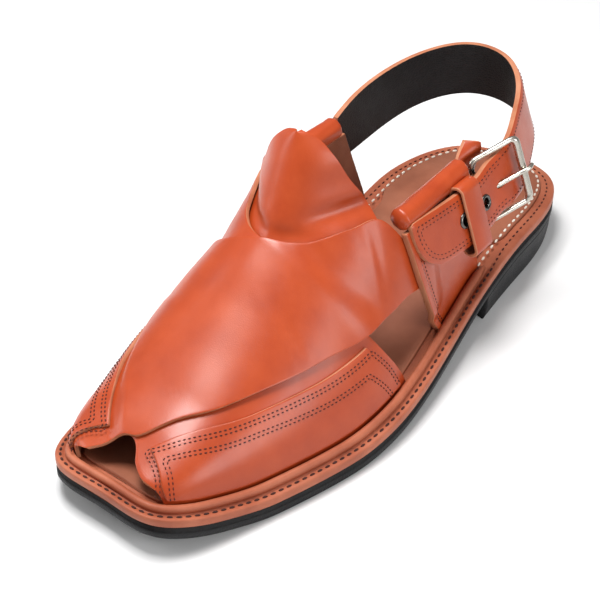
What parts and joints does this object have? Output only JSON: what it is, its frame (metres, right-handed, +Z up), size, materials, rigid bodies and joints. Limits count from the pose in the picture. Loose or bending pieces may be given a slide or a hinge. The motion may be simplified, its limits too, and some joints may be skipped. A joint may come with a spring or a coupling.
{
  "type": "sandal",
  "caption": "Left leather sandal with wide crossed straps, open toe, rounded tongue and a buckled strap round the heel.",
  "frame": {"origin": "centre of the bounding box in X and Y, on the ground under the heel and the ball of the foot", "axes": "+Z up, toe towards -Y, outer side of the foot (the buckle) towards +X"},
  "size_m": [0.1148, 0.2961, 0.1188],
  "materials": {
    "black rubber": "matte, fine grain",
    "sole leather": "smooth, cut edge",
    "insole leather": "smooth, worn matt",
    "tan leather": "smooth, semi-gloss, orange tan",
    "nickel": "polished nickel"
  },
  "bodies": {
    "root": {"outsole": "black rubber", "heel": "black rubber", "midsole": "sole leather", "rand": "sole leather", "insole": "insole leather", "upper": "tan leather", "overlay_outer": "tan leather", "overlay_inner": "tan leather", "tongue": "tan leather", "quarter_outer": "tan leather", "quarter_inner": "tan leather", "collar_outer": "tan leather", "collar_inner": "tan leather", "heel_strap": "tan leather", "chape": "tan leather", "keeper": "tan leather", "guard_tab": "tan leather", "buckle_frame": "nickel", "buckle_pin": "nickel", "eyelet_1": "nickel", "eyelet_2": "nickel", "eyelet_3": "nickel"}
  },
  "joints": []
}
